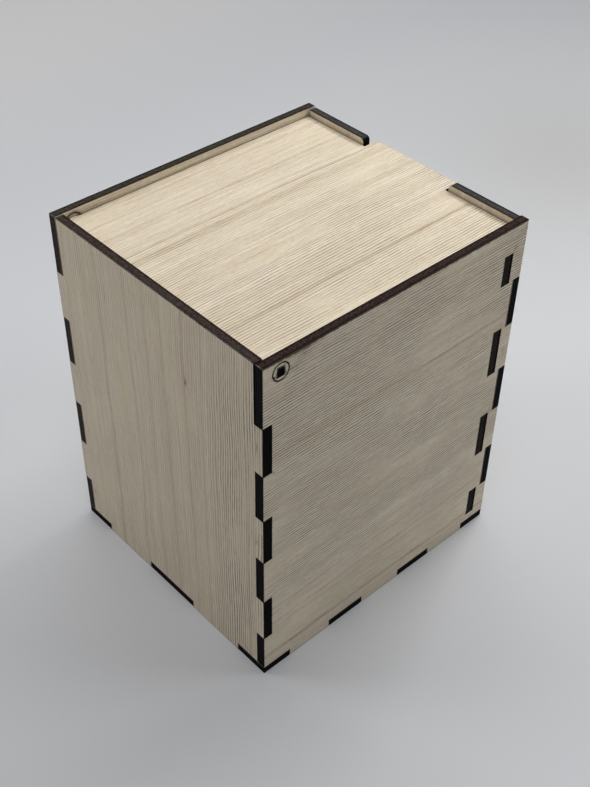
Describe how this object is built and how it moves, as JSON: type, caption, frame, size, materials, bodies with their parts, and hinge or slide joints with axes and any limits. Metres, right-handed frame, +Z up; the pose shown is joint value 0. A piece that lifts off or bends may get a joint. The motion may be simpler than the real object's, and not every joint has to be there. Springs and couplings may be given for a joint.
{
  "type": "hinged lid wooden box",
  "caption": "Small upright plywood box with finger-jointed walls and a recessed lid that swings up on discs set in the side walls.",
  "frame": {"origin": "centre of the footprint, on the face the box rests on", "axes": "+Z up, +X across the box, +Y from the notched front wall to the rear wall beside the pivot"},
  "size_m": [0.0886, 0.0995, 0.1178],
  "materials": {
    "lid_plywood": "matte",
    "side_plywood": "matte",
    "end_plywood": "matte",
    "base_plywood": "matte"
  },
  "bodies": {
    "box": {"bottom_panel": "base_plywood", "front_wall": "end_plywood", "rear_wall": "end_plywood", "side_wall_left": "side_plywood", "side_wall_right": "side_plywood", "inner_front_panel": "end_plywood"},
    "lid": {"lid": "lid_plywood", "pivot_disc_left": "side_plywood", "pivot_disc_right": "side_plywood"}
  },
  "joints": [
    {"name": "lid_pivot", "type": "hinge", "parent": "box", "child": "lid", "pos_m": [0, 0.0426, 0.114], "axis": [-1, 0, 0], "range_deg": [0, 110]}
  ]
}
